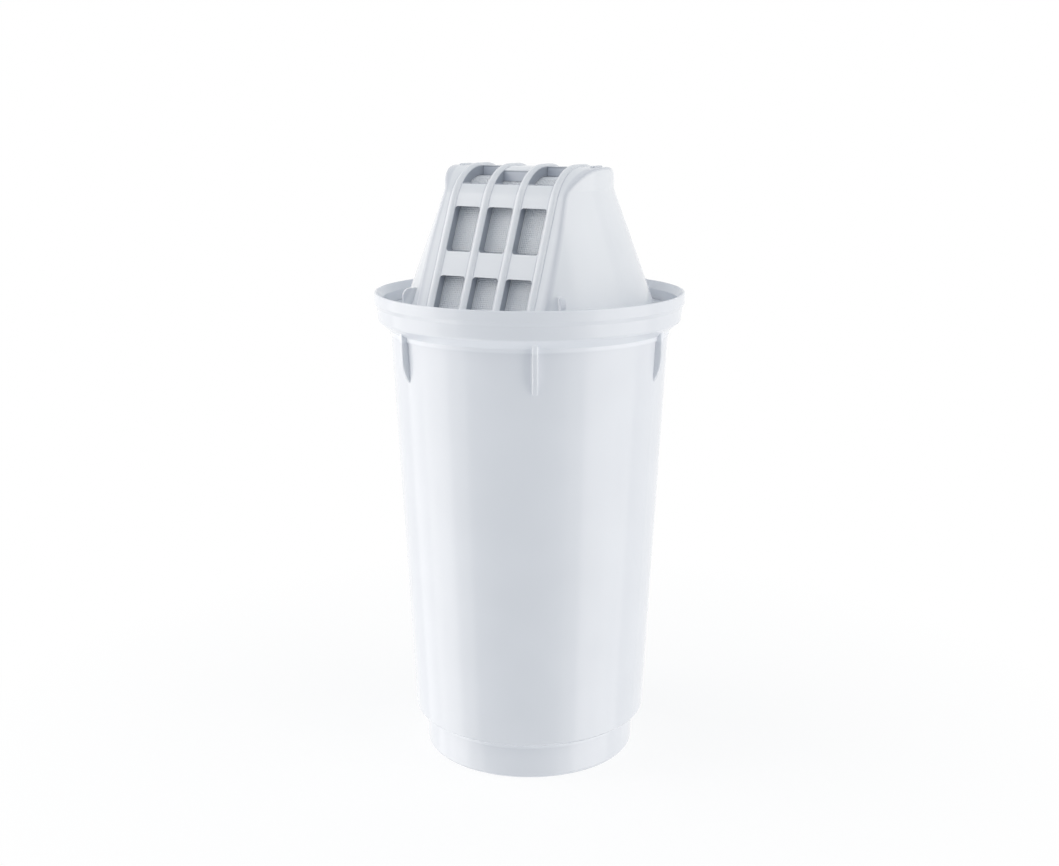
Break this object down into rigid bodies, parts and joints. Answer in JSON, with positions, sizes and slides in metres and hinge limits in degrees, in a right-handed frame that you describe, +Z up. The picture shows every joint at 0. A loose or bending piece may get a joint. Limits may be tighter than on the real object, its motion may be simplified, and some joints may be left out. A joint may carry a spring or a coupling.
{
  "type": "water pitcher filter cartridge",
  "caption": "Tall tapered round cup with a finned collar and a roof-shaped inlet hood, whose ribbed windows over a mesh let water in to the bed.",
  "frame": {"origin": "centre of the foot, in the plane that the cartridge stands on", "axes": "+Z up along the cup, X along the ridge of the inlet hood, so that the windows face -Y and +Y"},
  "size_m": [0.0772, 0.0772, 0.1505],
  "materials": {
    "housing": "white satin moulded polypropylene",
    "hood": "white satin moulded polypropylene",
    "inlet_mesh": "fine grey woven mesh",
    "felt": "white non-woven felt",
    "media": "packed carbon and resin granules",
    "outlet_mesh": "fine white woven mesh"
  },
  "bodies": {
    "root": {"cup_housing": "housing", "inlet_hood": "hood", "inlet_mesh": "inlet_mesh", "upper_felt": "felt", "media_bed": "media", "lower_felt": "felt", "outlet_mesh": "outlet_mesh"}
  },
  "joints": []
}
